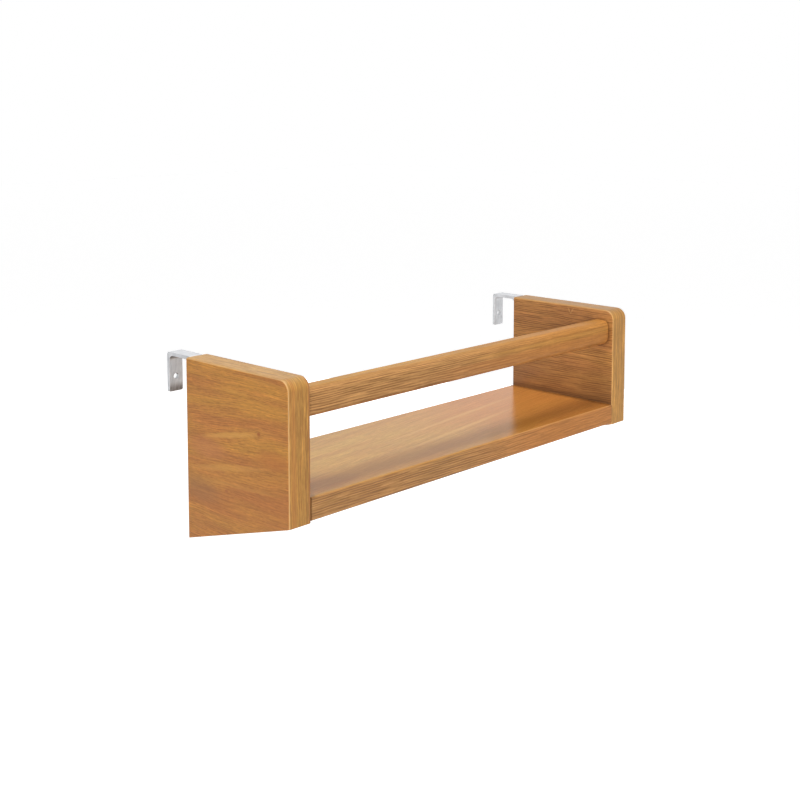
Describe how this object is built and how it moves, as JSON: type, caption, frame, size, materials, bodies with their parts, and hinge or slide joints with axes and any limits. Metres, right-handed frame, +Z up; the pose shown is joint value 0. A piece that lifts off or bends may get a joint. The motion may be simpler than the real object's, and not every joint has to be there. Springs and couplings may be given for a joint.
{
  "type": "bracket wall shelf",
  "caption": "Wooden shelf with two side panels, a board and a front rail, hung over a bed rail or board edge by two flat steel hooks.",
  "frame": {"origin": "the middle of the front top edge of the bed rail or board that the shelf hangs on: level with the undersides of both hook straps, in the plane of the fixed legs' back faces, halfway between the hooks", "axes": "+X to the right along the shelf as seen from its front, +Y from the shelf's front to the rail that it hangs on, +Z up"},
  "size_m": [0.5, 0.176, 0.1685],
  "materials": {
    "panel_wood": "honey brown stain under satin lacquer, grain running front to back, soft cathedral figure",
    "board_wood": "honey brown stain under semi-gloss lacquer, grain running along the shelf",
    "rail_wood": "honey brown stain under satin lacquer, grain running along the rail",
    "galvanised_steel": "bright zinc-plated steel strap, satin",
    "screw_steel": "zinc-plated steel, semi-gloss",
    "cam_zinc": "dull zinc die casting",
    "dowel_beech": "bare beech, unfinished"
  },
  "bodies": {
    "root": {"left_side_panel": "panel_wood", "right_side_panel": "panel_wood", "shelf_board": "board_wood", "front_rail": "rail_wood", "left_hook": "galvanised_steel", "right_hook": "galvanised_steel", "left_hook_upper_screw": "screw_steel", "left_hook_lower_screw": "screw_steel", "right_hook_upper_screw": "screw_steel", "right_hook_lower_screw": "screw_steel", "left_front_cam_bolt": "screw_steel", "left_back_cam_bolt": "screw_steel", "right_front_cam_bolt": "screw_steel", "right_back_cam_bolt": "screw_steel", "left_front_cam": "cam_zinc", "left_back_cam": "cam_zinc", "right_front_cam": "cam_zinc", "right_back_cam": "cam_zinc", "left_board_dowel": "dowel_beech", "right_board_dowel": "dowel_beech", "left_rail_upper_dowel": "dowel_beech", "left_rail_lower_dowel": "dowel_beech", "right_rail_upper_dowel": "dowel_beech", "right_rail_lower_dowel": "dowel_beech"}
  },
  "joints": []
}
